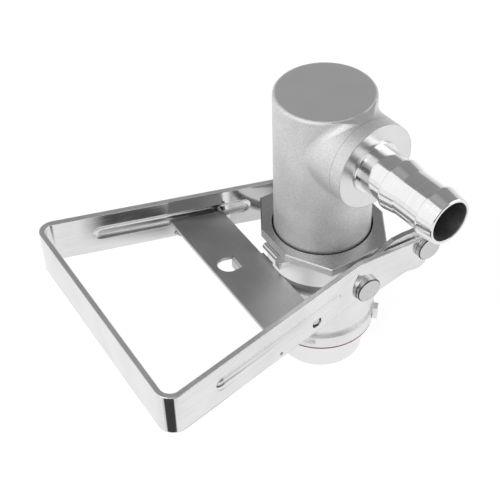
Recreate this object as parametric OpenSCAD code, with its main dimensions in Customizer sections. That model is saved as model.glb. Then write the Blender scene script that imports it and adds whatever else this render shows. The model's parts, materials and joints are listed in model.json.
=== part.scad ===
// Drum coupler for diesel exhaust fluid: an outlet elbow with a hose tail that slides in a fixed head.
// Millimetres. The origin is the centre of the sealing face, +Z points up, the handle points to -X.

/* [Outlet body] */
// Outside diameter of the outlet body
body_d = 54; // [50:0.5:56]
// Height of the body's top face above the sealing face
body_top_z = 158.8; // [150:0.1:170]
// Diameter of the vertical flow bore
flow_d = 34; // [28:0.5:36]
// Thickness of the closed top
body_cap = 8; // [4:0.5:12]
// Radius of the fillet round the top edge
body_fillet = 2.3; // [1:0.1:4]
// Height of the outlet port's axis
port_z = 135; // [130:0.5:140]
// Outside diameter of the port boss
boss_d = 47.2; // [40:0.2:47.6]
// Reach of the boss's end face from the body's axis
boss_reach = 40.1; // [36:0.1:46]
// Direction of the port, counted from +X
port_az = -85; // [-180:5:180]
// Radius of the cast fillet where the boss meets the body
boss_blend = 6; // [3:0.5:8]

/* [Hose tail] */
// Outside diameter of the tail's shank
tail_d = 25; // [24:0.1:28]
// Diameter over the barb crests
barb_d = 27.8; // [26:0.1:32]
// Bore of the hose tail
tail_bore = 21.3; // [16:0.1:22]
// Reach of the tail's end from the body's axis
tail_reach = 92.7; // [80:0.1:110]
// Depth of the tail's root inside the boss
tail_root = 16; // [12:0.5:20]
// Reach of the first barb's crest
barb1_reach = 57.2; // [52:0.1:60]
// Length of the tip, from the second barb's crest to the tail's end
tip_len = 9.7; // [6:0.1:16]

/* [Head] */
// Half length of the octagonal flange along X
oct_x = 32.5; // [31:0.1:36]
// Half width of the octagonal flange along Y
oct_y = 35.8; // [34:0.1:40]
// Half length of the flange's two long side faces
oct_a = 18.2; // [14:0.1:22]
// Half width of the flange's two end faces
oct_b = 12; // [8:0.1:16]
// Height of the flange's top face
flange_top_z = 71.6; // [71:0.1:73]
// Thickness of the flange
flange_t = 4.7; // [4:0.1:5]
// Bevel round the flange's top edge
flange_bevel = 0.7; // [0.5:0.1:2]
// Outside diameter of the collar
collar_d = 62; // [60:0.5:64]
// Height of the collar's lower edge
collar_low_z = 49.3; // [48:0.1:50]
// Diameter of the neck between collar and barrel
neck_d = 57; // [56.5:0.1:59]
// Height of the neck's lower end inside the barrel
spigot_low_z = 34; // [30:0.5:38]
// Height of the barrel's top edge
barrel_top_z = 42.9; // [40:0.1:44]
// Height of the barrel's bottom face
barrel_low_z = 9; // [8.5:0.1:10]
// Height of the bayonet ring's lower face
ring_low_z = 1.2; // [1:0.1:2]
// Wall of the bayonet ring round the nose
ring_wall = 6.2; // [5:0.1:8]
// Number of recesses round the bayonet ring
ring_slots = 3; // [2:1:4]
// Outside diameter of the nose that enters the drum valve
nose_d = 50.4; // [48:0.1:53]
// Length of the nose below the sealing face
nose_len = 21.6; // [16:0.1:26]
// Outside diameter of the probe tube
probe_d = 38; // [36.5:0.5:39]
// Wall of the probe tube
probe_wall = 3; // [2:0.1:3.5]
// How far the probe stands out of the nose with the handle down
probe_out = 3.4; // [0:0.1:6]

/* [Drive] */
// Height of the drive pins with the handle down
drive_z = 54.5; // [54:0.1:55.5]
// Diameter of the drive pins' inner ends
drive_d = 6; // [5:0.1:6.4]
// Height of the two-part drive ring
drive_ring_h = 8; // [7.5:0.1:9]
// Depth of the drive groove in the body
groove_depth = 4.3; // [3.5:0.1:4.6]
// Stroke of the body, from handle down to handle up
stroke = 8.91; // [8.91:0.01:9.1]
// Sideways travel of the drive pins in their slots
drive_shift = 1.35; // [1.35:0.05:1.6]

/* [Handle] */
// Width over the handle at the grip
grip_w = 151; // [140:1:170]
// Distance of the grip's outer face from the body's axis
grip_x = 140; // [120:1:170]
// Height of the handle's flat bar
bar_h = 26; // [24:0.5:28]
// Thickness of the handle's flat bar
bar_t = 2.9; // [2.5:0.1:3.1]
// Height of the bar where it narrows before the pivot
bar_end_h = 20; // [18:0.5:22]
// Radius of the arms' ends about the pivot
end_r = 10; // [9:0.5:11]
// Gap between the parallel ends of the arms
arm_gap = 79.6; // [79.4:0.1:81]
// Outer corner radius of the grip
grip_r = 8.5; // [6:0.5:12]
// Distance from the body's axis to the bend of each arm, on the grip's side
bend_x = 4.6; // [0:0.1:8]
// Fall of the handle towards its pivot, in degrees
handle_tilt = 3; // [2:0.5:4]
// Height of the bar's top edge above the body's axis
handle_z = 73.5; // [73:0.1:74.5]
// Distance from the body's axis to the handle's pivot
pivot_x = 40; // [39:0.5:44]
// Height of the handle's pivot
pivot_z = 65; // [64.5:0.1:66]
// Diameter of the pivot pins' shanks
pivot_d = 8; // [7:0.1:9]
// Diameter of the pin heads
head_d = 14.8; // [13:0.1:16]
// Height of the pin heads
head_h = 3; // [2:0.1:4]
// Width of the stiffening beads pressed into the arms
bead_w = 9; // [6:0.5:11]
// Height of the stiffening beads
bead_h = 1.6; // [1:0.1:2]
// Distance of the beads' outer ends from the body's axis
bead_x0 = 109; // [95:1:112]
// Distance of the beads' inner ends from the body's axis
bead_x1 = 19.6; // [18:0.1:30]

/* [Latch] */
// Distance from the body's axis to the latch hinge
hinge_x = 37.7; // [37.6:0.1:39]
// Height of the latch hinge
hinge_z = 55.9; // [55:0.1:56.5]
// Diameter of the latch hinge rod
hinge_d = 4; // [3:0.1:4.2]
// Distance of the latch plate's rear edge from the body's axis
latch_x0 = 68; // [60:1:74]
// Distance of the latch plate's front edge from the body's axis
latch_x1 = 37; // [36.8:0.1:37.4]
// Height of the latch plate's front edge
latch_z = 61.7; // [61.2:0.1:61.9]
// Rise of the latch plate towards the grip, in degrees
latch_tilt = 7; // [5:0.5:8]
// Thickness of the latch plate
latch_t = 2; // [1.5:0.1:2.2]
// Width of the latch tongue
tongue_w = 10; // [6:0.5:13]
// Width of the D-shaped finger hole
dhole_d = 11.6; // [6:0.1:14]
// Distance of the finger hole's round end from the body's axis, at the middle of its arc
dhole_x = 58.5; // [56:0.5:60]
// Distance of the finger hole from the middle of the plate
dhole_y = 5; // [-8:0.5:8]
// Distance of the bent tab at the hole's straight end from the body's axis
tab_x = 53.3; // [50:0.1:54]
// Width of the bent tab
tab_w = 9.4; // [5:0.1:10]
// Length of the tab below its bend
tab_drop = 5; // [3:0.5:8]
// Wire diameter of the latch springs
spring_wire = 1.5; // [1.2:0.1:1.6]
// Number of turns of each latch spring
spring_turns = 4; // [3:1:5]
// Diameter of the catch rod
catch_d = 4; // [3:0.1:4]
// Distance of the catch rod from the body's axis
catch_x = 33.3; // [33.3:0.1:33.5]

/* [Ears] */
// Thickness of the ear plates that carry the pivot
ear_t = 3; // [2.5:0.1:3]
// Diameter of the ear screws
ear_screw_d = 4; // [3:0.5:4]

/* [Hidden] */
$fn = 72;

// Running clearance on a radius, fitted clearance on a radius, and free gap between moving faces
run = 0.08;
fitted = 0.02;
gap = 0.3;
// A length that surely passes through whatever it cuts, and a small overlap for joined shapes
far = 200;
eps = 0.01;

body_r = body_d / 2;
collar_r = collar_d / 2;
collar_bore_r = body_r + gap;
ring_d = nose_d + 2 * ring_wall;
ring_proud = 0.4;
barrel_r = ring_d / 2 - ring_proud;
flange_low_z = flange_top_z - flange_t;
wiper_h = 3;
wiper_r = body_r + 1.1;
wiper_sink = 0.4;
groove_r = body_r - groove_depth;
slim_r = body_r - 1.5;
spigot_r = neck_d / 2;
spigot_bore_r = slim_r + gap;
shoulder_z = drive_z - drive_ring_h / 2 - 5.5;
bush_h = 7;
bush_r = spigot_r;
body_low_z = 18;
probe_r = probe_d / 2;
probe_top_z = 30;
probe_low_z = -nose_len - probe_out;
nose_r = nose_d / 2;
nose_flange_r = 28;
nose_relief = 0.6;
nose_flange_h = 3.5;
boss_r = boss_d / 2;
seal_w = 1.2;
seal_depth = 1.6;
window_w = drive_d + 2 * drive_shift + 2 * gap;
drive_end_y = groove_r + run + 0.8;
arm_out_y = arm_gap / 2 + bar_t;
arm_slope = (grip_w / 2 - arm_out_y) / (grip_x - bend_x);
arm_turn = atan(arm_slope);
ear_y = arm_gap / 2 - 0.8 - ear_t;
ear_screw_in = 6;
sink_h = 2;
sink_w = 1.7;
pad_x0 = 8.5;
pad_x1 = 18.5;
bush_d = hinge_d + 2.4;
toe_r = 7;
slope_x0 = 6;
slope_x1 = 27;
catch_y = tongue_w / 2 + 2.6;
tail_collar_w = 2;
tail_collar_t = 1.2;
barb_rise = 0.5;
barb_land = 1;
barb_len = 8.8;
tail_bevel = 0.4;
barb2_reach = tail_reach - tip_len;

// Small maths helpers for outlines
function unit(v) = v / norm(v);
function turn_side(a, b, c) = sign((b[0] - a[0]) * (c[1] - b[1]) - (b[1] - a[1]) * (c[0] - b[0]));
function polar(r, a) = r * [cos(a), sin(a)];
function arc(c, r, a0, a1, n) = [for (i = [0:n]) c + polar(r, a0 + (a1 - a0) * i / n)];

// Points beside a rounded corner of a bent strip: d is the offset to the left of the path
function corner(a, b, c, r, d, n) =
    let (u = unit(a - b), v = unit(c - b), half = acos(u * v) / 2, s = turn_side(a, b, c),
         m = b + unit(u + v) * r / sin(half), p = b + u * r / tan(half) - m,
         a0 = atan2(p[1], p[0]))
    [for (i = [0:n]) m + polar(r - s * d, a0 + s * (180 - 2 * half) * i / n)];

// Side of a bent strip along a path whose inner points are rounded
function side_of(path, radii, d, n) =
    let (last = len(path) - 1, first_dir = unit(path[1] - path[0]),
         last_dir = unit(path[last] - path[last - 1]))
    concat([path[0] + d * [-first_dir[1], first_dir[0]]],
           [for (i = [1:last - 1]) each corner(path[i - 1], path[i], path[i + 1], radii[i - 1], d, n)],
           [path[last] + d * [-last_dir[1], last_dir[0]]]);

function reversed(list) = [for (i = [len(list) - 1:-1:0]) list[i]];
function strip(path, radii, t, n) =
    concat(side_of(path, radii, t / 2, n), reversed(side_of(path, radii, -t / 2, n)));

// Closed tube of round section along a list of points, with flat ends
function tangent(p, i) = unit(p[min(i + 1, len(p) - 1)] - p[max(i - 1, 0)]);
function frames(p, i, prev) =
    i == len(p) ? [] :
    let (t = tangent(p, i), n = unit(prev - (prev * t) * t))
    concat([[n, cross(t, n)]], frames(p, i + 1, n));
module tube(points, r, sides, start) {
    f = frames(points, 0, start);
    rings = len(points);
    pts = [for (i = [0:rings - 1]) for (k = [0:sides - 1])
           points[i] + r * (cos(360 * k / sides) * f[i][0] + sin(360 * k / sides) * f[i][1])];
    skin = [for (i = [0:rings - 2]) for (k = [0:sides - 1])
            let (a = i * sides + k, b = i * sides + (k + 1) % sides)
            each [[a, b, b + sides], [a, b + sides, a + sides]]];
    cap0 = [[for (k = [sides - 1:-1:0]) k]];
    cap1 = [[for (k = [0:sides - 1]) (rings - 1) * sides + k]];
    polyhedron(pts, [for (face = concat(skin, cap0, cap1)) reversed(face)], convexity = 6);
}

// Revolved outline of [radius, height] points
module turned(outline) {
    rotate_extrude() polygon(outline);
}

// Ring between two radii
module ring(r_in, r_out, h) {
    difference() {
        cylinder(r = r_out, h = h);
        translate([0, 0, -1]) cylinder(r = r_in, h = h + 2);
    }
}

// Puts a piece modelled along +Z onto the port's axis, with its reach counted from the body's axis
module on_port() {
    translate([0, 0, port_z]) rotate([0, 0, port_az]) rotate([0, 90, 0]) children();
}

// Puts a piece modelled along +Z onto a cross axis at x, z, pointing to the side s of the head
module on_side(x, z, s) {
    translate([x, 0, z]) rotate([s < 0 ? 90 : -90, 0, 0]) children();
}

// Octagonal outline of the flange
function octagon() = [[oct_a, oct_y], [-oct_a, oct_y], [-oct_x, oct_b], [-oct_x, -oct_b],
                      [-oct_a, -oct_y], [oct_a, -oct_y], [oct_x, -oct_b], [oct_x, oct_b]];

// Cast fillet between the body and the port boss, as a ball rolling in the corner would leave it
module boss_fillet() {
    n = 72;
    m = 6;
    sink = 0.12;
    depth = 3;
    r = boss_blend;
    function inside(a, boss, body) = sqrt(pow(body, 2) - pow(boss * cos(a), 2));
    function centre(a) = [inside(a, boss_r + r, body_r + r), (boss_r + r) * cos(a), (boss_r + r) * sin(a)];
    function on_body(a) =
        let (c = centre(a), share = body_r / (body_r + r))
        [c[0] * share, c[1] * share, c[2]];
    function on_boss(a) =
        let (c = centre(a), share = boss_r / (boss_r + r))
        [c[0], c[1] * share, c[2] * share];
    function inner(a) =
        [(body_r - depth) * 0.93 * sqrt(max(0.2, 1 - pow(boss_r * cos(a) / body_r, 2))),
         (boss_r - depth) * cos(a), (boss_r - depth) * sin(a)];
    function between(a, t) =
        let (c = centre(a), p = on_body(a) - c, q = on_boss(a) - c,
             w = acos(min(1, p * q / (norm(p) * norm(q)))))
        c + (p * sin((1 - t) * w) + q * sin(t * w)) / sin(w) * (r + sink) / r;
    rows = m + 2;
    pts = [for (i = [0:n - 1]) let (a = 360 * i / n)
           each concat([for (k = [0:m]) between(a, k / m)], [inner(a)])];
    faces = [for (i = [0:n - 1]) for (k = [0:rows - 1])
             let (a = i * rows + k, b = i * rows + (k + 1) % rows,
                  c = ((i + 1) % n) * rows + (k + 1) % rows, d = ((i + 1) % n) * rows + k)
             each [[a, b, c], [a, c, d]]];
    translate([0, 0, port_z]) rotate([0, 0, port_az]) polyhedron(pts, faces, convexity = 6);
}

// Outlet body: a closed cylinder with a side port and a groove for the drive ring
module outlet_body() {
    groove_h = drive_ring_h + 2 * run;
    groove_z = drive_z - groove_h / 2;
    outline = concat([[0, body_low_z], [slim_r, body_low_z],
                      [slim_r, shoulder_z + gap], [body_r, shoulder_z + gap],
                      [body_r, groove_z], [groove_r, groove_z], [groove_r, groove_z + groove_h],
                      [body_r, groove_z + groove_h]],
                     arc([body_r - body_fillet, body_top_z - body_fillet], body_fillet, 0, 90, 8),
                     [[0, body_top_z]]);
    color("silver") difference() {
        union() {
            turned(outline);
            on_port() cylinder(r = boss_r, h = boss_reach);
            intersection() {
                boss_fillet();
                translate([0, 0, port_z - 50]) cylinder(r = far, h = body_top_z - 0.6 - port_z + 50);
            }
        }
        translate([0, 0, probe_top_z]) cylinder(r = flow_d / 2, h = body_top_z - body_cap - probe_top_z);
        translate([0, 0, body_low_z - 1]) cylinder(r = probe_r + fitted, h = probe_top_z - body_low_z + 1);
        on_port() cylinder(r = tail_d / 2 + fitted, h = boss_reach + 1);
        on_port() translate([0, 0, boss_reach - seal_depth])
            cylinder(r = tail_d / 2 + seal_w + 0.5, h = seal_depth + 1);
    }
}

// Hose tail: a bored shank with a shoulder that seats on the boss, and two barbs
module hose_tail() {
    r = tail_d / 2;
    c = barb_d / 2;
    collar = [[r, tail_root], [r, boss_reach], [r + tail_collar_w, boss_reach],
              [r + tail_collar_w, boss_reach + tail_collar_t - 0.3],
              [r + tail_collar_w - 0.3, boss_reach + tail_collar_t], [r, boss_reach + tail_collar_t]];
    barb1 = [[r, barb1_reach - barb_rise], [c, barb1_reach], [c, barb1_reach + barb_land],
             [r, barb1_reach + barb_len]];
    barb2 = [[r, barb2_reach - barb_rise], [c, barb2_reach], [c, barb2_reach + barb_land],
             [r, tail_reach - tail_bevel], [r - tail_bevel, tail_reach]];
    bore = [[tail_bore / 2 + 0.3, tail_reach], [tail_bore / 2, tail_reach - 0.3], [tail_bore / 2, tail_root]];
    color("gainsboro") on_port() turned(concat(collar, barb1, barb2, bore));
}

// Flat seal round the tail in the boss's counterbore
module port_seal() {
    color("dimgray") on_port() translate([0, 0, boss_reach - seal_depth])
        ring(tail_d / 2 + run, tail_d / 2 + seal_w + 0.4, seal_depth - 0.4);
}

// Probe tube, fixed in the bottom of the outlet body
module probe_tube() {
    color("silver") difference() {
        translate([0, 0, probe_low_z + 2]) cylinder(r = probe_r, h = probe_top_z - probe_low_z - 2);
        translate([0, 0, probe_low_z]) cylinder(r = probe_r - probe_wall, h = probe_top_z - probe_low_z + 1);
    }
}

// Probe tip: a ring, three spokes and the button that pushes the drum valve open
module probe_tip() {
    tip_h = 2;
    stem_r = 5;
    rim_r = probe_r - probe_wall - fitted;
    color("white") difference() {
        union() {
            translate([0, 0, probe_low_z]) ring(rim_r - 2.4, probe_r - 0.5, tip_h);
            translate([0, 0, probe_low_z]) ring(rim_r - 2.4, rim_r, tip_h + 5);
            translate([0, 0, probe_low_z]) cylinder(r = stem_r, h = tip_h + 5);
            for (i = [0:2]) rotate([0, 0, 120 * i + 30])
                translate([0, -1.2, probe_low_z]) cube([rim_r - 1, 2.4, tip_h + 5]);
        }
        translate([0, 0, probe_low_z - 1]) cylinder(r = 1.6, h = 3);
    }
}

// Half of the drive ring that the drive pins lift; s is the side it lies on
module drive_ring(s) {
    z0 = drive_z - drive_ring_h / 2;
    r_in = groove_r + run;
    difference() {
        translate([0, 0, z0]) ring(r_in, body_r - 0.1, drive_ring_h);
        translate([-far / 2, s > 0 ? -far : 0, z0 - 1]) cube([far, far, drive_ring_h + 2]);
        drive_slot(s);
    }
}
// Slot for a drive pin: long enough for the pin's sideways travel
module drive_slot(s) {
    r = drive_d / 2 + run;
    round_slot(s, r, -drive_shift - 0.1, 0.1, drive_z, drive_z, body_r + 6);
}
// Round-ended slot along the cross axis between two points, made of true cylinders and a block
module round_slot(s, r, x0, x1, z0, z1, depth) {
    on_side(x0, z0, s) cylinder(r = r, h = depth);
    on_side(x1, z1, s) cylinder(r = r, h = depth);
    if (x1 > x0) translate([x0, s > 0 ? 0 : -depth, z0 - r]) cube([x1 - x0, depth, 2 * r]);
    if (z1 > z0) translate([x0 - r, s > 0 ? 0 : -depth, z0]) cube([2 * r, depth, z1 - z0]);
}
module drive_ring_near() { color("darkkhaki") drive_ring(-1); }
module drive_ring_far() { color("khaki") drive_ring(1); }

// Fixed head: octagonal flange, collar with the pin windows, neck and spigot in one piece
module top_flange() {
    bore_steps = [[0, spigot_low_z - 1], [spigot_bore_r, spigot_low_z - 1], [spigot_bore_r, shoulder_z],
                  [collar_bore_r, shoulder_z], [collar_bore_r, flange_top_z - wiper_h],
                  [wiper_r, flange_top_z - wiper_h], [wiper_r, flange_top_z + 1], [0, flange_top_z + 1]];
    body_steps = [[0, spigot_low_z], [spigot_r, spigot_low_z], [spigot_r, collar_low_z],
                  [collar_r - 0.8, collar_low_z], [collar_r, collar_low_z + 0.8],
                  [collar_r, flange_low_z + eps], [0, flange_low_z + eps]];
    color("gainsboro") difference() {
        union() {
            translate([0, 0, flange_low_z]) linear_extrude(flange_t) polygon(octagon());
            turned(body_steps);
            for (s = [-1, 1]) translate([pad_x0, s > 0 ? 0 : -ear_y, collar_low_z + 1])
                cube([pad_x1 - pad_x0, ear_y, flange_low_z - collar_low_z - 1 + eps]);
            catch_lug();
        }
        turned(bore_steps);
        flange_bevels();
        catch_bore(0);
        for (s = [-1, 1]) {
            drive_window(s);
            for (z = ear_screw_z()) on_side(ear_screw_x(), z, s)
                translate([0, 0, body_r + 1.5]) cylinder(r = ear_screw_d / 2 + fitted, h = far);
        }
    }
}
// Lug that carries the catch rod, on the near side of the collar's front
module catch_lug() {
    lug_w = 4.2;
    wall_x = 0.6;
    wall_z = 0.8;
    x0 = catch_x + catch_d / 2 + wall_x;
    z0 = catch_z() - catch_d / 2 - wall_z;
    translate([-x0, -catch_y - lug_w, z0]) cube([x0 - collar_r + 6, lug_w, flange_low_z - z0 + eps]);
}
function catch_z() = flange_low_z - catch_d / 2 - 0.1;
// The catch rod's own cylinder, made thinner on its radius by thin
module catch_bore(thin) {
    translate([-catch_x, -catch_y - 4.6, catch_z()]) rotate([-90, 0, 0])
        cylinder(r = catch_d / 2 - thin, h = catch_y + 4.6 + tongue_w / 2 + 1.5);
}
// Windows in the collar in which the drive pins rise
module drive_window(s) {
    r = drive_d / 2 + gap;
    translate([-window_w / 2, s > 0 ? body_r - 3 : -far - body_r + 3, drive_z])
        cube([window_w, far, stroke]);
    for (x = [-window_w / 2 + r, window_w / 2 - r], z = [drive_z, drive_z + stroke])
        on_side(x, z, s) translate([0, 0, body_r - 3]) cylinder(r = r, h = far);
    translate([-window_w / 2 + r, s > 0 ? body_r - 3 : -far - body_r + 3, drive_z - r])
        cube([window_w - 2 * r, far, stroke + 2 * r]);
}
// Bevel along each edge of the octagon's top
module flange_bevels() {
    p = octagon();
    side = flange_bevel * sqrt(2);
    for (i = [0:7]) {
        a = p[i];
        b = p[(i + 1) % 8];
        mid = (a + b) / 2;
        translate([mid[0], mid[1], flange_top_z]) rotate([0, 0, atan2(b[1] - a[1], b[0] - a[0])])
            rotate([45, 0, 0]) cube([norm(b - a) + 20, side, side], center = true);
    }
}

// Black wiper in the top of the head
module wiper_ring() {
    color("black") translate([0, 0, flange_top_z - wiper_h])
        ring(body_r + 0.1, wiper_r - fitted, wiper_h - wiper_sink);
}

// Plastic bush that guides the slim lower end of the body
module guide_bush() {
    color("ivory") translate([0, 0, spigot_low_z - bush_h]) ring(slim_r + run, bush_r - fitted, bush_h);
}

// Barrel between the head and the bayonet ring
module barrel() {
    shell = [[nose_flange_r + fitted, barrel_low_z], [barrel_r - 1.5, barrel_low_z],
             [barrel_r - 1.5, barrel_low_z + 3.2], [barrel_r, barrel_low_z + 4.5],
             [barrel_r, barrel_top_z - 0.8], [barrel_r - 0.8, barrel_top_z],
             [spigot_r + fitted, barrel_top_z], [spigot_r + fitted, spigot_low_z - bush_h],
             [slim_r + 2 * gap, spigot_low_z - bush_h], [slim_r + 2 * gap, body_low_z - 2],
             [probe_r + gap, body_low_z - 2], [probe_r + gap, barrel_low_z + nose_flange_h],
             [nose_flange_r + fitted, barrel_low_z + nose_flange_h]];
    color("gainsboro") turned(shell);
}

// Ring under the barrel, with recesses for the drum valve's bayonet
module bayonet_ring() {
    depth = 1.4;
    low = 3.2;
    span = 44;
    color("lightgray") difference() {
        translate([0, 0, ring_low_z]) ring(nose_r + fitted, ring_d / 2, barrel_low_z - ring_low_z);
        for (i = [0:ring_slots - 1]) rotate([0, 0, -129.6 - span + 360 / ring_slots * i])
            translate([0, 0, ring_low_z + low]) rotate_extrude(angle = span)
                translate([ring_d / 2 - depth, 0]) square([far, barrel_low_z - ring_low_z - low - 0.8]);
    }
}

// Small lug that marks where the ring locks
module index_lug() {
    lug_out = 2.8;
    lug_w = 5;
    lug_turn = -46;
    color("lightgray") rotate([0, 0, lug_turn]) difference() {
        translate([nose_r, -lug_w / 2, ring_low_z + 1.8])
            cube([ring_d / 2 + lug_out - nose_r, lug_w, barrel_low_z - ring_low_z + 0.4]);
        translate([0, 0, -1]) cylinder(r = ring_d / 2 + fitted, h = far);
    }
}

// Nose that enters the drum valve, flanged into the barrel
module nose_sleeve() {
    groove_r_out = probe_r + run + 2.6;
    outline = [[probe_r + run, -nose_len], [nose_r - 1, -nose_len], [nose_r, -nose_len + 1], [nose_r, 0],
               [nose_r - nose_relief, 0], [nose_r - nose_relief, barrel_low_z],
               [nose_flange_r, barrel_low_z], [nose_flange_r, barrel_low_z + nose_flange_h],
               [probe_r + run, barrel_low_z + nose_flange_h],
               [probe_r + run, nose_groove_z(1) + 3.2], [groove_r_out, nose_groove_z(1) + 3.2],
               [groove_r_out, nose_groove_z(1)], [probe_r + run, nose_groove_z(1)],
               [probe_r + run, nose_groove_z(0) + 3.2], [groove_r_out, nose_groove_z(0) + 3.2],
               [groove_r_out, nose_groove_z(0)], [probe_r + run, nose_groove_z(0)]];
    color("whitesmoke") turned(outline);
}
function nose_groove_z(i) = -nose_len + 5 + 9 * i;

// Two seals in the nose that wipe the probe
module nose_seals() {
    sec_r = 1.22;
    color("black") for (i = [0, 1]) translate([0, 0, nose_groove_z(i) + 1.6])
        rotate_extrude() translate([probe_r + 0.1 + sec_r, 0]) circle(r = sec_r, $fn = 32);
}

// Red face gasket; its lower face is the sealing face
module face_gasket() {
    color("brown") ring(nose_r + fitted, ring_d / 2 - 0.2, ring_low_z);
}

// Side view of an ear: a foot behind the drive pin and a round lobe about the pivot
function ear_outline() = concat([[pad_x0, collar_low_z + 1], [pad_x1 + 2, collar_low_z + 1]],
    arc([pivot_x, pivot_z], 11, -62, 62, 12),
    [[27.6, pivot_z + 11.1], [20, pivot_z + 10.7], [15.6, pivot_z + 8.8], [pad_x0, pivot_z + 4]]);
function ear_screw_x() = (pad_x0 + pad_x1) / 2;
function ear_screw_z() = [collar_low_z + 5.4, collar_low_z + 13.5];
module ear_plate(s) {
    y0 = s > 0 ? ear_y + ear_t : -ear_y;
    difference() {
        translate([0, y0, 0]) rotate([90, 0, 0]) linear_extrude(ear_t) polygon(ear_outline());
        on_side(pivot_x, pivot_z, s) cylinder(r = pivot_d / 2 + fitted, h = far);
        for (z = ear_screw_z()) on_side(ear_screw_x(), z, s) {
            cylinder(r = ear_screw_d / 2 + fitted, h = far);
            translate([0, 0, ear_y + ear_t - sink_h - fitted])
                cylinder(r1 = ear_screw_d / 2, r2 = ear_screw_d / 2 + sink_w + 0.1, h = sink_h + 0.1);
        }
    }
}
module ear_plate_near() { color("silver") ear_plate(-1); }
module ear_plate_far() { color("silver") ear_plate(1); }

// Countersunk screws that hold the ears to the head
module ear_screws() {
    color("darkgray") for (s = [-1, 1], z = ear_screw_z()) on_side(ear_screw_x(), z, s) difference() {
        union() {
            translate([0, 0, ear_y - ear_screw_in]) cylinder(r = ear_screw_d / 2, h = ear_t + ear_screw_in);
            translate([0, 0, ear_y + ear_t - sink_h])
                cylinder(r1 = ear_screw_d / 2, r2 = ear_screw_d / 2 + sink_w, h = sink_h);
        }
        translate([0, 0, ear_y + ear_t - 1.2]) cylinder(r = 1.4, h = 2, $fn = 6);
    }
}

// Rod under the flange's front edge that the latch tongue catches
module catch_rod() {
    color("silver") catch_bore(fitted);
}

// Pivot pin of the handle on side s, with a round head outside the arm
module pivot_pin(s) {
    on_side(pivot_x, pivot_z, s) {
        translate([0, 0, ear_y - 5]) cylinder(r = pivot_d / 2, h = arm_out_y + 0.15 - ear_y + 5 + eps);
        translate([0, 0, arm_out_y + 0.15]) pin_head();
    }
}
// Flat round head with a small bevelled rim
module pin_head() {
    r = head_d / 2;
    turned([[0, 0], [r, 0], [r, head_h - 0.5], [r - 0.5, head_h], [0, head_h]]);
}
module pivot_pin_near() { color("lightgray") pivot_pin(-1); }
module pivot_pin_far() { color("lightgray") pivot_pin(1); }

// Washers between the ears and the arms
module pivot_washers() {
    color("gray") for (s = [-1, 1]) on_side(pivot_x, pivot_z, s)
        translate([0, 0, ear_y + ear_t]) ring(pivot_d / 2 + fitted, pivot_d / 2 + 4, 0.65);
}

// Nuts inside the ears
module pivot_nuts() {
    color("darkgray") for (s = [-1, 1]) on_side(pivot_x, pivot_z, s) difference() {
        translate([0, 0, ear_y - 4]) cylinder(r = 7, h = 4, $fn = 6);
        translate([0, 0, ear_y - 6]) cylinder(r = pivot_d / 2 + fitted, h = 8);
    }
}

// Height of the bar's top edge at a distance x along the handle
function bar_top(x) = handle_z - x * tan(handle_tilt);

// Plan of the bent bar: centre line from the near arm's end round the grip to the far arm's end
function bar_path() =
    let (t = bar_t / 2, y_arm = arm_out_y - t, x_grip = -grip_x + t,
         y_grip = y_arm + (-bend_x - x_grip) * arm_slope)
    [[far, -y_arm], [-bend_x, -y_arm], [x_grip, -y_grip], [x_grip, y_grip], [-bend_x, y_arm], [far, y_arm]];

function bar_radii() = [12, grip_r - bar_t / 2, grip_r - bar_t / 2, 12];

// Side view of the bar: it narrows past the drive pin, then rounds off in a toe and about the pivot
function bar_side() =
    let (toe = [pivot_x - 5.4, pivot_z - end_r + 2.7],
         meet = asin((bar_top(pivot_x) - pivot_z) * cos(handle_tilt) / end_r) - handle_tilt)
    concat([[-far, bar_top(-far)], [-far, bar_top(-far) - bar_h],
            [slope_x0, bar_top(slope_x0) - bar_h], [slope_x1, bar_top(slope_x1) - bar_end_h]],
           arc(toe, toe_r, -105, -30, 8), arc([pivot_x, pivot_z], end_r, -78, meet, 14));

// Puts a piece on the outside of the arm on side s: X along the arm, Y outward, Z up, with the bar's fall
module on_arm(s, x, drop) {
    y = arm_out_y + (-bend_x - x) * arm_slope;
    translate([x, s * y, bar_top(x) - drop]) rotate([0, 0, -s * arm_turn]) rotate([0, handle_tilt, 0])
        mirror([0, s < 0 ? 1 : 0, 0]) children();
}

// Round-ended bead along the arm, with its centre line sunk below the face
module bead(sink) {
    r = (pow(bead_w / 2, 2) + pow(bead_h, 2)) / (2 * bead_h);
    len = (bead_x0 - bead_x1) / cos(arm_turn) - bead_w;
    translate([0, -(r - bead_h) - sink, 0]) {
        rotate([0, 90, 0]) cylinder(r = r, h = len);
        sphere(r = r);
        translate([len, 0, 0]) sphere(r = r);
    }
}

// Handle: one flat bar bent to a U, with a bead pressed into each arm
module handle() {
    start_x = -bead_x0 + bead_w / 2;
    color("lightgray") difference() {
        union() {
            intersection() {
                linear_extrude(far) polygon(strip(bar_path(), bar_radii(), bar_t, 10));
                rotate([90, 0, 0]) translate([0, 0, -far]) linear_extrude(2 * far) polygon(bar_side());
            }
            for (s = [-1, 1]) on_arm(s, start_x, bar_h / 2) intersection() {
                bead(0);
                translate([-far / 2, -bar_t / 2, -far / 2]) cube([far, far, far]);
            }
        }
        for (s = [-1, 1]) {
            on_arm(s, start_x, bar_h / 2) intersection() {
                bead(bar_t);
                translate([-far / 2, -far - bar_t / 2, -far / 2]) cube([far, far, far]);
            }
            on_side(pivot_x, pivot_z, s) cylinder(r = pivot_d / 2 + run, h = far);
            on_side(0, drive_z, s) cylinder(r = pivot_d / 2 + fitted, h = far);
            on_side(0, drive_z, s) translate([0, 0, arm_out_y]) cylinder(r = head_d / 2 + gap, h = far);
            on_side(-hinge_x, hinge_z, s) cylinder(r = bush_d / 2 + fitted, h = far);
            on_side(-anchor_x(), anchor_z(), s) cylinder(r = spring_wire / 2 + 0.25, h = far);
        }
    }
}

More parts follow.
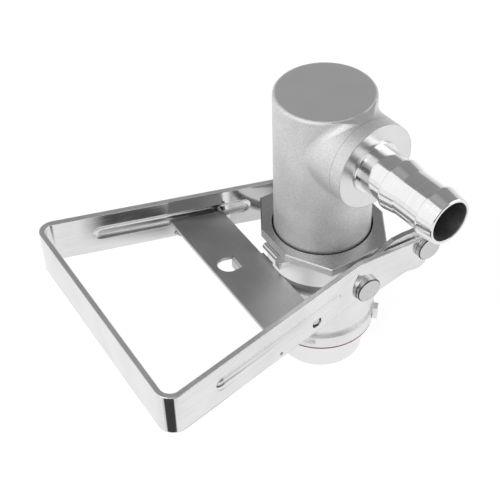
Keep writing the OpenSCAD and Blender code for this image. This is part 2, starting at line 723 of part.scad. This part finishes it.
// Drive pin on side s: head, shank in the arm and slimmer end in the drive ring
module drive_pin(s) {
    on_side(0, drive_z, s) {
        translate([0, 0, arm_out_y]) pin_head();
        translate([0, 0, oct_y + 0.7]) cylinder(r = pivot_d / 2, h = arm_out_y - oct_y - 0.7 + eps);
        translate([0, 0, drive_end_y]) cylinder(r = drive_d / 2, h = oct_y + 1 - drive_end_y);
    }
}
module drive_pin_near() { color("lightgray") drive_pin(-1); }
module drive_pin_far() { color("lightgray") drive_pin(1); }

// Snap rings on the drive pins, inside the arms
module drive_pin_clips() {
    color("gray") for (s = [-1, 1]) on_side(0, drive_z, s) translate([0, 0, arm_gap / 2 - 0.7]) difference() {
        ring(pivot_d / 2 + fitted, pivot_d / 2 + 1.5, 0.7);
        translate([-1.5, -far, -1]) cube([3, far, 3]);
    }
}

// Hinge rod of the latch, with its bushes in the arms
function hinge_out_y() = arm_out_y + (hinge_x - bend_x) * arm_slope;
module latch_rod() {
    color("whitesmoke") translate([-hinge_x, 0, hinge_z]) rotate([90, 0, 0])
        cylinder(r = hinge_d / 2, h = 2 * (hinge_out_y() - 0.8), center = true);
}
module latch_bushes() {
    color("dimgray") for (s = [-1, 1]) on_side(-hinge_x, hinge_z, s)
        translate([0, 0, hinge_out_y() - bar_t - 0.4]) ring(hinge_d / 2 + fitted, bush_d / 2, bar_t - 0.6);
}

// Torsion springs round the hinge rod: one leg anchored in the arm, one under the latch plate
leg_start = 5;
leg_end = 20;
function anchor_x() = 64;
function anchor_z() = bar_top(-anchor_x()) - bar_h + 2.7;
function coil_r() = hinge_d / 2 + spring_wire / 2 + 0.1;
function coil_y(s) = s * (hinge_out_y() - bar_t - latch_t - 1.5 - spring_wire);
function spring_path(s) =
    let (steps = 16, total = spring_turns * steps, pitch = spring_wire + 0.15, r = coil_r(),
         leg_z = anchor_z(), out_y = arm_out_y + (anchor_x() - bend_x) * arm_slope)
    concat([[-anchor_x(), s * (out_y + 0.2), leg_z], [-anchor_x(), s * (out_y - bar_t - 1), leg_z],
            [-anchor_x() + 1, s * (out_y - bar_t - 3.4), leg_z - 0.1],
            [-anchor_x() + 5, coil_y(s) + s * 3, leg_z - 0.3],
            [-hinge_x - 12, coil_y(s) + s * 0.4, hinge_z - r - 0.1],
            [-hinge_x - leg_start, coil_y(s), hinge_z - r]],
           [for (i = [0:total + steps / 2]) let (a = -90 + 360 * i / steps)
               [-hinge_x + r * cos(a), coil_y(s) - s * pitch * i / steps, hinge_z + r * sin(a)]],
           [for (leg = [[leg_start, 0.6], [leg_end, 0.9]])
               [-hinge_x - leg[0], coil_y(s) - s * pitch * (spring_turns + leg[1]),
                under_z(hinge_x + leg[0])]]);
function under_z(x) = latch_under(x) - spring_wire / 2 - 0.35;
module latch_springs() {
    color("gray") for (s = [-1, 1]) tube(spring_path(s), spring_wire / 2, 8, [0, 0, 1]);
}

// Height of the latch plate's top face at a distance x towards the grip
function latch_top(x) = latch_z + (x - latch_x1) * tan(latch_tilt);
function latch_under(x) = latch_top(x) - latch_t / cos(latch_tilt);
// Half width of the plate: it clears the arms by more towards the rear, which swings towards their narrow end
function latch_half(x, inset) =
    hinge_out_y() - bar_t / cos(arm_turn) + (x - hinge_x) * (arm_slope - 0.03) - 0.5 - inset;

// Plan of the latch plate: it follows the arms, with rounded front corners and the tongue
function latch_plan(inset, x0, x1, r) =
    let (w0 = latch_half(x0, inset), w1 = latch_half(x1, inset))
    concat([[-x0, -w0]], arc([-x1 - r, -w1 + r], r, -90, 0, 6),
           arc([-x1 - r, w1 - r], r, 0, 90, 6), [[-x0, w0]]);

// Latch plate: a folded plate with two flanges on the hinge rod, a finger hole and a tongue
module latch_plate() {
    lobe_r = hinge_d / 2 + 3.2;
    inset = latch_t;
    past = 9;
    rear = latch_x0 + past;
    front = latch_x1 - past;
    color("darkgray") difference() {
        union() {
            intersection() {
                translate([0, 0, 40]) linear_extrude(40) polygon(latch_plan(0, latch_x0, latch_x1, 4));
                rotate([90, 0, 0]) translate([0, 0, -far / 2]) linear_extrude(far) latch_side(lobe_r);
            }
            translate([-latch_x1, 0, latch_z]) rotate([0, latch_tilt, 0])
                translate([-6, -tongue_w / 2, -latch_t]) cube([6 + 1.4, tongue_w, latch_t]);
        }
        intersection() {
            translate([0, 0, 30]) linear_extrude(60) polygon(
                [[-rear, -latch_half(rear, inset)], [-front, -latch_half(front, inset)],
                 [-front, latch_half(front, inset)], [-rear, latch_half(rear, inset)]]);
            rotate([90, 0, 0]) translate([0, 0, -far / 2]) linear_extrude(far) polygon(
                [[-rear, 30], [-front, 30], [-front, latch_under(front)], [-rear, latch_under(rear)]]);
        }
        translate([-hinge_x, far / 2, hinge_z]) rotate([90, 0, 0]) cylinder(r = hinge_d / 2 + run, h = far);
        translate([0, dhole_y, 40]) linear_extrude(40) polygon(dhole_outline());
    }
    color("darkgray") translate([0, dhole_y + tab_w / 2, 0]) rotate([90, 0, 0])
        linear_extrude(tab_w) polygon(tab_side());
}
// Outline of the finger hole: a round end towards the grip, and slits beside the bent tab
function dhole_outline() =
    let (w = tab_w / 2, slit = 0.5, x1 = -tab_x + latch_t)
    concat(arc([-dhole_x, 0], dhole_d / 2, 90, 270, 24),
           [[-tab_x, -w - slit], [x1, -w - slit], [x1, w + slit], [-tab_x, w + slit]]);
// Side view of the tab that is bent down from the hole's straight end, with its root inside the plate
function tab_side() =
    let (cx = -tab_x + latch_t, cz = latch_top(-cx) - latch_t / cos(latch_tilt), root = 1.5)
    concat(arc([cx, cz], latch_t, 90 - latch_tilt, 180, 8),
           [[-tab_x, cz - tab_drop], [cx, cz - tab_drop], [cx, cz],
            [cx + root, cz + 0.3], [cx + root, cz + latch_t - 0.6]]);
// Side view of the folded plate's flanges
module latch_side(lobe_r) {
    polygon([[-latch_x0, latch_top(latch_x0)], [-latch_x0, latch_top(latch_x0) - latch_t - 1.5],
             [-hinge_x - 5, hinge_z - lobe_r + 0.6], [-hinge_x, hinge_z - lobe_r],
             [-latch_x1, hinge_z - lobe_r], [-latch_x1, latch_top(latch_x1)]]);
    translate([-hinge_x, hinge_z]) circle(r = lobe_r);
}

outlet_body();
hose_tail();
port_seal();
probe_tube();
probe_tip();
drive_ring_near();
drive_ring_far();
top_flange();
wiper_ring();
guide_bush();
barrel();
bayonet_ring();
index_lug();
nose_sleeve();
nose_seals();
face_gasket();
ear_plate_near();
ear_plate_far();
ear_screws();
catch_rod();
pivot_pin_near();
pivot_pin_far();
pivot_washers();
pivot_nuts();
handle();
drive_pin_near();
drive_pin_far();
drive_pin_clips();
latch_rod();
latch_bushes();
latch_springs();
latch_plate();
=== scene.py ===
"""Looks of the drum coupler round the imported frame: camera, studio light and the finish of every surface."""
import json
import math
import bpy
from mathutils import Euler, Matrix, Vector


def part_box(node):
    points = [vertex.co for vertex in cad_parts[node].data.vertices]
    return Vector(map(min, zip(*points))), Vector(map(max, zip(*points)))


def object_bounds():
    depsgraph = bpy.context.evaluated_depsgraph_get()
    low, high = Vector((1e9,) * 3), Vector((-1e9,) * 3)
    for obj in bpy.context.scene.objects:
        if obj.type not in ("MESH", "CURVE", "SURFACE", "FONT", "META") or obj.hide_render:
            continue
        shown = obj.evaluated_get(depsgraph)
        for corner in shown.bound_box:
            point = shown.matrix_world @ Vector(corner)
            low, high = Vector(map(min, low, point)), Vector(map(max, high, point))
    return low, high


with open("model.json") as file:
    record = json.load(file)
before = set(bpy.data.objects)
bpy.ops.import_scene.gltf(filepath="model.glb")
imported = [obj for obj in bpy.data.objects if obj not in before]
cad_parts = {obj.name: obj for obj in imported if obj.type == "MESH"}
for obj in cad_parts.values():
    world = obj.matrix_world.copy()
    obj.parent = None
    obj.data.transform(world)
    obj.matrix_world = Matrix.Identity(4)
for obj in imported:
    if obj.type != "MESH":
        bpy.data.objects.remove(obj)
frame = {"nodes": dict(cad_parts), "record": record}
cad_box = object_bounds()
MM = 0.001


# Camera at the photograph's viewing angle, fitted to the edges of the object: its place, its turn in degrees,
# and its lens and sensor in millimetres
CAMERA_PLACE = Vector((-276.88, -391.19, 498.44)) * MM
CAMERA_TURN = (46.842, 1.462, -31.796)
CAMERA_LENS = 83.1
SENSOR_WIDTH = 36


def make_camera():
    """The camera, placed, turned and made the scene's own."""
    data = bpy.data.cameras.new("photo_camera")
    data.lens = CAMERA_LENS
    data.sensor_width = SENSOR_WIDTH
    data.clip_start = 0.01
    data.clip_end = 20
    camera = bpy.data.objects.new("photo_camera", data)
    bpy.context.scene.collection.objects.link(camera)
    turn = Euler([math.radians(angle) for angle in CAMERA_TURN])
    camera.matrix_world = Matrix.LocRotScale(CAMERA_PLACE, turn, None)
    bpy.context.scene.camera = camera


# Helpers for shader trees
def node(tree, kind, inputs=None, **settings):
    """A new shader node. Inputs are named or numbered, and each is a value or the socket that feeds it."""
    made = tree.nodes.new(kind)
    for name, value in settings.items():
        setattr(made, name, value)
    for name, value in (inputs or {}).items():
        if isinstance(value, bpy.types.NodeSocket):
            tree.links.new(value, made.inputs[name])
        else:
            made.inputs[name].default_value = value
    return made


def calc(tree, operation, a, b=0.0, c=0.0):
    """The output of a Math node."""
    return node(tree, "ShaderNodeMath", {0: a, 1: b, 2: c}, operation=operation).outputs[0]


def both(tree, first, second):
    """The product of two masks, which is 1 only where both are."""
    return calc(tree, "MULTIPLY", first, second)


def weighed(tree, first, first_share, second, second_share):
    """The sum of two values, each times its share."""
    return calc(tree, "MULTIPLY_ADD", first, first_share, calc(tree, "MULTIPLY", second, second_share))


def map_range(tree, value, from_low, from_high, to_low, to_high):
    """A value moved from one range to another and held inside it."""
    inputs = {"Value": value, "From Min": from_low, "From Max": from_high,
              "To Min": to_low, "To Max": to_high}
    return node(tree, "ShaderNodeMapRange", inputs, clamp=True).outputs["Result"]


def step(tree, value, start, end):
    """0 below start and 1 above end, or the other way round where end is lower."""
    return map_range(tree, value, start, end, 0.0, 1.0)


def spread(tree, value, low, high):
    """A value from 0 to 1, spread from low to high."""
    return map_range(tree, value, 0.0, 1.0, low, high)


def blend_values(tree, factor, first, second):
    """Mixes two numbers, each a socket or a value."""
    return node(tree, "ShaderNodeMix", {0: factor, 2: first, 3: second}).outputs[0]


def blend_colours(tree, factor, first, second):
    """Mixes two colours, each a socket or a value."""
    return node(tree, "ShaderNodeMix", {0: factor, 6: first, 7: second}, data_type="RGBA").outputs[2]


def tint(tree, factor, dark, light):
    """A colour between two colours of three numbers each."""
    return blend_colours(tree, factor, (*dark, 1), (*light, 1))


def grey(level):
    """The colour of an even grey."""
    return (level, level, level)


def place_on_object(tree):
    """Place on the object in metres."""
    return node(tree, "ShaderNodeTexCoord").outputs["Object"]


def stretched(tree, scale):
    """Place on the object, stretched along each axis for a noise."""
    inputs = {"Vector": place_on_object(tree), "Scale": scale}
    return node(tree, "ShaderNodeMapping", inputs).outputs["Vector"]


def parts_of(tree, vector):
    """The X, Y and Z of a vector."""
    split = node(tree, "ShaderNodeSeparateXYZ", {"Vector": vector})
    return split.outputs["X"], split.outputs["Y"], split.outputs["Z"]


def noise(tree, vector, scale, detail, rough=0.5):
    """Noise from 0 to 1, with scale in features per metre where the vector is in metres."""
    inputs = {"Vector": vector, "Scale": scale, "Detail": detail, "Roughness": rough}
    return node(tree, "ShaderNodeTexNoise", inputs).outputs["Fac"]


def true_normal(tree):
    """The face's own normal on the object, so that a mask by direction keeps its place at every pose."""
    return node(tree, "ShaderNodeTexCoord").outputs["Normal"]


def rounded(tree, radius):
    """A normal that turns smoothly over sharp edges."""
    return node(tree, "ShaderNodeBevel", {"Radius": radius}, samples=8).outputs["Normal"]


def bumped(tree, height, depth, normal=None):
    """A normal from a height from 0 to 1 over a depth in metres."""
    inputs = {"Height": height, "Distance": depth, "Strength": 1.0}
    if normal is not None:
        inputs["Normal"] = normal
    return node(tree, "ShaderNodeBump", inputs).outputs["Normal"]


FINISH = "_finish"


def new_material(name):
    """An empty material with a shader wired to its output."""
    material = bpy.data.materials.new(name + FINISH)
    material.use_nodes = True
    tree = material.node_tree
    tree.nodes.clear()
    shader = tree.nodes.new("ShaderNodeBsdfPrincipled")
    node(tree, "ShaderNodeOutputMaterial", {"Surface": shader.outputs["BSDF"]})
    return material, tree, shader


def feed(tree, shader, **sockets):
    """Connects or sets the shader's inputs: base_color, roughness, normal and so on."""
    for name, value in sockets.items():
        socket = shader.inputs[name.replace("_", " ").title()]
        if isinstance(value, bpy.types.NodeSocket):
            tree.links.new(value, socket)
        else:
            socket.default_value = value


# Noise scales of metal grain along X, Y and Z: rings round Z, even, and lines along Y
RINGS = (60.0, 60.0, 4200.0)
EVEN = (1500.0, 1500.0, 1500.0)
ALONG_Y = (1800.0, 90.0, 1800.0)
# Noise scale of the soft blotches in metal
CLOUDS = 60.0
# Radius that softens the edges of most metal
SOFT_EDGE_RADIUS = 0.3 * MM
# The bore of the hose tail, which lies along the outlet body's port: the port's direction and height
TAIL_BORE = next(mount for mount in frame["record"]["mounts"] if mount["name"] == "tail_bore")
PORT_X, PORT_Y, _ = TAIL_BORE["axis"]
PORT_HEIGHT = TAIL_BORE["pos_m"][2]
# Radius below which a surface counts as the inside of the hose tail
BORE = (TAIL_BORE["dims"]["r_mm"] + 0.15) * MM
# Reach along the port of the faint parting line and of the boss face
SEAM = 32.5 * MM
SEAM_HALF_WIDTH = 0.5 * MM
BOSS_FACE = 40 * MM
# Height above which the body's top is machined
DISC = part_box("outlet_body")[1].z - 0.06 * MM
# Height of the collar's lower edge, below which the groove under the collar takes painted shade
COLLAR_LOW = 49.3 * MM


def grain_and_tone(tree, lines):
    """The grain of a metal, and its tone from 0, dark, to 1, light, which is half grain and half cloud."""
    grain = noise(tree, stretched(tree, lines), 1.0, 3.0)
    cloud = noise(tree, place_on_object(tree), CLOUDS, 4.0)
    return grain, step(tree, weighed(tree, grain, 0.5, cloud, 0.5), 0.3, 0.7)


def brushed_metal(name, dark, light, rough, lines):
    """Metal with fine lines: rough is the lowest and highest roughness, lines the grain's noise scales."""
    material, tree, shader = new_material(name)
    grain, tone = grain_and_tone(tree, lines)
    feed(tree, shader, metallic=1.0, base_color=tint(tree, tone, dark, light),
         roughness=spread(tree, tone, *rough),
         normal=bumped(tree, grain, 0.01 * MM, rounded(tree, SOFT_EDGE_RADIUS)))
    return material


def faced_metal(name, top, side, rough, lines, groove_top=None):
    """Turned or milled metal with painted light and shade: level faces and sides differ, each the darkest and
    lightest grey.

    rough is for the level faces. Chamfers take painted shade, and so does all below groove_top, a height in
    metres.
    """
    material, tree, shader = new_material(name)
    grain, tone = grain_and_tone(tree, lines)
    up = parts_of(tree, true_normal(tree))[2]
    level = step(tree, up, 0.45, 0.65)
    chamfer = both(tree, level, step(tree, up, 0.9, 0.8))
    # Painted shade: the chamfers, and the groove below groove_top, darkened towards near-black
    painted_shade = calc(tree, "MULTIPLY", chamfer, 0.4)
    if groove_top is not None:
        height = parts_of(tree, place_on_object(tree))[2]
        groove = step(tree, height, groove_top + 0.2 * MM, groove_top)
        painted_shade = calc(tree, "MAXIMUM", painted_shade, calc(tree, "MULTIPLY", groove, 0.75))
    # Painted light and shade: level faces and sides take different greys by their direction
    bright = blend_colours(tree, level, tint(tree, tone, *side), tint(tree, tone, *top))
    colour = blend_colours(tree, painted_shade, bright, tint(tree, tone, grey(0.04), grey(0.08)))
    softness = blend_values(tree, level, spread(tree, tone, 0.40, 0.50), spread(tree, tone, *rough))
    feed(tree, shader, metallic=1.0, base_color=colour, roughness=softness,
         normal=bumped(tree, grain, 0.005 * MM, rounded(tree, SOFT_EDGE_RADIUS)))
    return material


def port_axes(tree):
    """Place along the port's axis, across it on the level, and up."""
    x, y, z = parts_of(tree, place_on_object(tree))
    reach = weighed(tree, x, PORT_X, y, PORT_Y)
    across = weighed(tree, y, PORT_X, x, -PORT_Y)
    return reach, across, z


def blasted_body():
    """Bead-blasted casting with a machined top disc, a turned boss face and a faint parting line."""
    material, tree, shader = new_material("bead_blasted_steel")
    place = place_on_object(tree)
    reach, _, z = port_axes(tree)
    fine = noise(tree, place, 1700.0, 3.0, 0.7)
    coarse = noise(tree, place, 600.0, 2.0)
    cloud = noise(tree, place, 45.0, 3.0)
    tone = step(tree, weighed(tree, fine, 0.7, cloud, 0.3), 0.35, 0.65)
    disc = step(tree, z, DISC - 0.02 * MM, DISC + 0.02 * MM)
    face = step(tree, reach, BOSS_FACE - 0.05 * MM, BOSS_FACE + 0.05 * MM)
    smooth = calc(tree, "MAXIMUM", disc, face)
    line = both(tree, step(tree, reach, SEAM - SEAM_HALF_WIDTH, SEAM),
                step(tree, reach, SEAM + SEAM_HALF_WIDTH, SEAM))

    colour = tint(tree, tone, grey(0.56), grey(0.88))
    colour = blend_colours(tree, disc, colour, tint(tree, tone, grey(0.76), grey(0.84)))
    colour = blend_colours(tree, face, colour, tint(tree, tone, grey(0.66), grey(0.74)))
    half_line = calc(tree, "MULTIPLY", line, 0.5)
    colour = blend_colours(tree, half_line, colour, tint(tree, line, grey(0.5), grey(0.3)))

    rough = blend_values(tree, smooth, spread(tree, tone, 0.50, 0.62), 0.40)
    rough = blend_values(tree, face, rough, 0.27)
    height = weighed(tree, coarse, 0.6, fine, 0.5)
    height = calc(tree, "MULTIPLY", height, spread(tree, smooth, 1.0, 0.12))
    feed(tree, shader, metallic=1.0, base_color=colour, roughness=rough,
         normal=bumped(tree, height, 0.14 * MM, rounded(tree, 0.8 * MM)))
    return material


def turned_steel():
    """Bright turned steel with fine rings round the port's axis, and painted shade inside the bore."""
    material, tree, shader = new_material("turned_steel")
    reach, across, z = port_axes(tree)
    height = calc(tree, "SUBTRACT", z, PORT_HEIGHT)
    square = calc(tree, "MULTIPLY_ADD", across, across, calc(tree, "MULTIPLY", height, height))
    radius = calc(tree, "SQRT", square)
    half_radius = calc(tree, "MULTIPLY", radius, 0.5)
    along = node(tree, "ShaderNodeCombineXYZ", {"X": reach, "Y": half_radius}).outputs[0]
    rings = noise(tree, along, 5200.0, 2.0)
    tone = step(tree, noise(tree, place_on_object(tree), 120.0, 3.0), 0.3, 0.7)
    bore = step(tree, radius, BORE + 0.15 * MM, BORE)
    outside = tint(tree, step(tree, rings, 0.3, 0.7), grey(0.72), grey(0.84))
    # Painted shade: the inside of the bore darker than the outside
    inside = tint(tree, tone, grey(0.36), grey(0.58))
    feed(tree, shader, metallic=1.0, base_color=blend_colours(tree, bore, outside, inside),
         roughness=blend_values(tree, bore, spread(tree, tone, 0.06, 0.12), 0.42),
         normal=bumped(tree, rings, 0.004 * MM, rounded(tree, SOFT_EDGE_RADIUS)))
    return material


def polished_bar():
    """Flat bar: polished faces with faint lengthwise lines, softer pressed beads, and grey brushed edges."""
    material, tree, shader = new_material("polished_steel")
    up = calc(tree, "ABSOLUTE", parts_of(tree, true_normal(tree))[2])
    edge = step(tree, up, 0.85, 0.95)
    bead = step(tree, up, 0.08, 0.2)
    lines = noise(tree, stretched(tree, (60.0, 60.0, 3200.0)), 1.0, 3.0)
    cross_lines = noise(tree, stretched(tree, (2400.0, 2400.0, 300.0)), 1.0, 2.0)
    cloud = noise(tree, place_on_object(tree), 35.0, 3.0)
    tone = step(tree, weighed(tree, lines, 0.5, cloud, 0.5), 0.32, 0.68)
    face_colour = tint(tree, tone, grey(0.64), grey(0.80))
    edge_colour = tint(tree, tone, grey(0.66), grey(0.84))
    face_rough = blend_values(tree, bead, spread(tree, tone, 0.06, 0.13), 0.22)
    height = blend_values(tree, edge, calc(tree, "MULTIPLY", lines, 0.35), cross_lines)
    feed(tree, shader, metallic=1.0, base_color=blend_colours(tree, edge, face_colour, edge_colour),
         roughness=blend_values(tree, edge, face_rough, 0.36),
         normal=bumped(tree, height, 0.01 * MM, rounded(tree, 0.9 * MM)))
    return material


def pin_steel():
    """Pins across Y: plain grey end faces and sides, and painted shade on the chamfers round the heads."""
    material, tree, shader = new_material("pin_steel")
    grain = noise(tree, stretched(tree, EVEN), 1.0, 3.0)
    tone = step(tree, grain, 0.3, 0.7)
    across = calc(tree, "ABSOLUTE", parts_of(tree, true_normal(tree))[1])
    chamfer = both(tree, step(tree, across, 0.2, 0.4), step(tree, across, 0.95, 0.85))
    plain = tint(tree, tone, grey(0.54), grey(0.66))
    # Painted shade: near-black on the head chamfers
    colour = blend_colours(tree, chamfer, plain, tint(tree, tone, grey(0.03), grey(0.06)))
    feed(tree, shader, metallic=1.0, base_color=colour, roughness=spread(tree, tone, 0.34, 0.42),
         normal=bumped(tree, grain, 0.003 * MM, rounded(tree, 0.15 * MM)))
    return material


def rubber(name, colour, rough):
    """Matt rubber, finely mottled."""
    material, tree, shader = new_material(name)
    shader.inputs["Specular IOR Level"].default_value = 0.2
    cloud = noise(tree, place_on_object(tree), 900.0, 3.0)
    darker = tuple(0.7 * channel for channel in colour)
    feed(tree, shader, base_color=tint(tree, cloud, darker, colour),
         roughness=spread(tree, cloud, rough - 0.08, rough + 0.08),
         normal=bumped(tree, cloud, 0.03 * MM))
    return material


def white_plastic():
    """Moulded plastic with a slight mottle."""
    material, tree, shader = new_material("white_plastic")
    cloud = noise(tree, place_on_object(tree), 300.0, 3.0)
    feed(tree, shader, base_color=tint(tree, cloud, (0.76, 0.76, 0.73), (0.84, 0.84, 0.82)),
         roughness=0.38, normal=bumped(tree, cloud, 0.01 * MM))
    return material


def make_materials():
    """One material for each of the record's slots."""
    made = [
        blasted_body(),
        turned_steel(),
        polished_bar(),
        pin_steel(),
        rubber("black_rubber", (0.006, 0.006, 0.007), 0.8),
        rubber("red_rubber", (0.40, 0.12, 0.085), 0.6),
        white_plastic(),
        brushed_metal("bronze", (0.42, 0.30, 0.15), (0.58, 0.44, 0.24), (0.25, 0.35), RINGS),
        brushed_metal("fastener_steel", grey(0.50), grey(0.66), (0.10, 0.18), EVEN),
        # bush_steel is near-black: painted shade of the dark ring round the latch rod's ends
        brushed_metal("bush_steel", grey(0.02), grey(0.06), (0.30, 0.42), EVEN),
        brushed_metal("spring_steel", grey(0.32), grey(0.45), (0.22, 0.32), EVEN),
        brushed_metal("latch_steel", grey(0.42), grey(0.52), (0.30, 0.38), ALONG_Y),
        # machined_steel: level faces darker than sides, painted shade; satin_steel: level faces lighter,
        # painted light
        faced_metal("machined_steel", (grey(0.42), grey(0.54)), (grey(0.72), grey(0.86)), (0.24, 0.34),
                    EVEN, COLLAR_LOW + 0.1 * MM),
        faced_metal("satin_steel", (grey(0.92), grey(0.98)), (grey(0.74), grey(0.86)), (0.42, 0.52),
                    RINGS),
    ]
    return {material.name.removesuffix(FINISH): material for material in made}


def dress_nodes(materials):
    """Every CAD node takes the material of its slot."""
    for part in frame["record"]["subparts"]:
        shown = frame["nodes"][part["node"]]
        shown.data.materials.clear()
        shown.data.materials.append(materials[part["material_slot"]])


# Studio floor: half its width in metres, and how bright it glows to the camera and in reflections
FLOOR_HALF = 3.0
FLOOR_GLOW = 0.87
# Dark cards on the floor that show only in reflections: left, right, front and back edge in millimetres
CARDS = [(-240, -147, -190, -83), (-124, -66, -70, -36), (-170, 40, -290, -166)]
CARD_SHADE = 0.06
CARD_EDGE = 9 * MM


def card_shade(tree, glossy):
    """Brightness of the floor from 0 to 1, dark on the cards for glossy rays."""
    x, y, _ = parts_of(tree, place_on_object(tree))
    shade = 1.0
    for left, right, front, back in CARDS:
        inside = glossy
        for place, low, high in ((x, left * MM, right * MM), (y, front * MM, back * MM)):
            inside = both(tree, inside, step(tree, place, low - CARD_EDGE, low + CARD_EDGE))
            inside = both(tree, inside, step(tree, place, high + CARD_EDGE, high - CARD_EDGE))
        shade = blend_values(tree, inside, shade, CARD_SHADE)
    return shade


def make_floor():
    """Floor under the object's lowest point: white to the camera and in reflections, with a faint shadow."""
    level = cad_box[0].z
    corners = [(-FLOOR_HALF, -FLOOR_HALF, level), (FLOOR_HALF, -FLOOR_HALF, level),
               (FLOOR_HALF, FLOOR_HALF, level), (-FLOOR_HALF, FLOOR_HALF, level)]
    mesh = bpy.data.meshes.new("floor")
    mesh.from_pydata(corners, [], [(0, 1, 2, 3)])
    floor = bpy.data.objects.new("floor", mesh)
    bpy.context.scene.collection.objects.link(floor)

    material = bpy.data.materials.new("floor_paper")
    material.use_nodes = True
    tree = material.node_tree
    tree.nodes.clear()
    path = node(tree, "ShaderNodeLightPath")
    glossy = path.outputs["Is Glossy Ray"]
    seen = calc(tree, "MAXIMUM", path.outputs["Is Camera Ray"], glossy)
    seen = calc(tree, "MAXIMUM", seen, path.outputs["Is Transmission Ray"])
    paper = node(tree, "ShaderNodeBsdfDiffuse", {"Color": (*grey(0.8), 1)})
    shade = card_shade(tree, glossy)
    pale = node(tree, "ShaderNodeBsdfDiffuse", {"Color": tint(tree, shade, grey(0.0), grey(0.22))})
    glow = node(tree, "ShaderNodeEmission", {"Strength": calc(tree, "MULTIPLY", shade, FLOOR_GLOW)})
    white = node(tree, "ShaderNodeAddShader", {0: pale.outputs[0], 1: glow.outputs[0]})
    mixed = node(tree, "ShaderNodeMixShader", {0: seen, 1: paper.outputs[0], 2: white.outputs[0]})
    node(tree, "ShaderNodeOutputMaterial", {"Surface": mixed.outputs[0]})
    floor.data.materials.append(material)


# Brightness of the room by the height of the direction, from straight down at -1 to straight up at 1
ROOM_LEVELS = [(-1.0, 0.85), (-0.02, 0.85), (0.2, 0.80), (0.34, 0.34), (0.9, 0.30), (1.0, 0.5)]
# Softboxes and dark screens in degrees: left and right edge counted from +Y towards -X, low and high edge
# above the horizon, brightness. The screen across -Y is given in two, because the count jumps there from
# 180 to -180.
PANELS = [(90, 33, -16, 66, 1.15), (-85, -125, 5, 50, 0.5), (190, 108, -40, 28, 0.12),
          (-140, -190, -40, 28, 0.12), (172, 118, 32, 64, 1.4)]
PANEL_EDGE = math.radians(1.5)


def panel_side(tree, angle, degrees, sense):
    """A soft edge at an angle: the panel lies above it where sense is 1, and below it where sense is -1."""
    middle = math.radians(degrees)
    return step(tree, angle, middle - sense * PANEL_EDGE, middle + sense * PANEL_EDGE)


def make_world():
    """White to the camera. The object sees a room that is darker above, with softboxes and dark screens."""
    world = bpy.data.worlds.new("studio")
    bpy.context.scene.world = world
    world.use_nodes = True
    tree = world.node_tree
    tree.nodes.clear()
    x, y, z = parts_of(tree, node(tree, "ShaderNodeTexCoord").outputs["Generated"])
    turn = calc(tree, "ARCTAN2", calc(tree, "MULTIPLY", x, -1.0), y)
    rise = calc(tree, "ARCSINE", z)
    ramp = node(tree, "ShaderNodeValToRGB", {"Fac": calc(tree, "MULTIPLY_ADD", z, 0.5, 0.5)})
    while len(ramp.color_ramp.elements) < len(ROOM_LEVELS):
        ramp.color_ramp.elements.new(0.5)
    for element, (height, level) in zip(ramp.color_ramp.elements, ROOM_LEVELS):
        element.position = 0.5 + 0.5 * height
        element.color = (*grey(level), 1)
    light = node(tree, "ShaderNodeSeparateColor", {0: ramp.outputs["Color"]}).outputs[0]
    for left, right, low, high, level in PANELS:
        sideways = both(tree, panel_side(tree, turn, right, 1), panel_side(tree, turn, left, -1))
        upright = both(tree, panel_side(tree, rise, low, 1), panel_side(tree, rise, high, -1))
        light = blend_values(tree, both(tree, sideways, upright), light, level)
    room = node(tree, "ShaderNodeBackground", {"Color": light})
    white = node(tree, "ShaderNodeBackground", {"Color": (*grey(1), 1)})
    seen = node(tree, "ShaderNodeLightPath").outputs["Is Camera Ray"]
    mixed = node(tree, "ShaderNodeMixShader", {0: seen, 1: room.outputs[0], 2: white.outputs[0]})
    node(tree, "ShaderNodeOutputWorld", {"Surface": mixed.outputs[0]})


# Place in metres that both lamps point at
LAMP_TARGET = Vector((0, 0, 0.08))


def make_lamp(name, place, size, power):
    """A square area lamp, with its place and side in metres and its power in watts."""
    data = bpy.data.lights.new(name, "AREA")
    data.shape = "SQUARE"
    data.size = size
    data.energy = power
    lamp = bpy.data.objects.new(name, data)
    bpy.context.scene.collection.objects.link(lamp)
    lamp.location = place
    lamp.rotation_euler = (LAMP_TARGET - Vector(place)).to_track_quat("-Z", "Y").to_euler()


make_camera()
make_floor()
make_world()
make_lamp("key_left", (-0.9, -0.35, 0.85), 0.7, 4.0)
make_lamp("fill_right", (0.8, -0.6, 0.6), 0.8, 3.0)
dress_nodes(make_materials())

bpy.context.scene.view_settings.view_transform = "Standard"
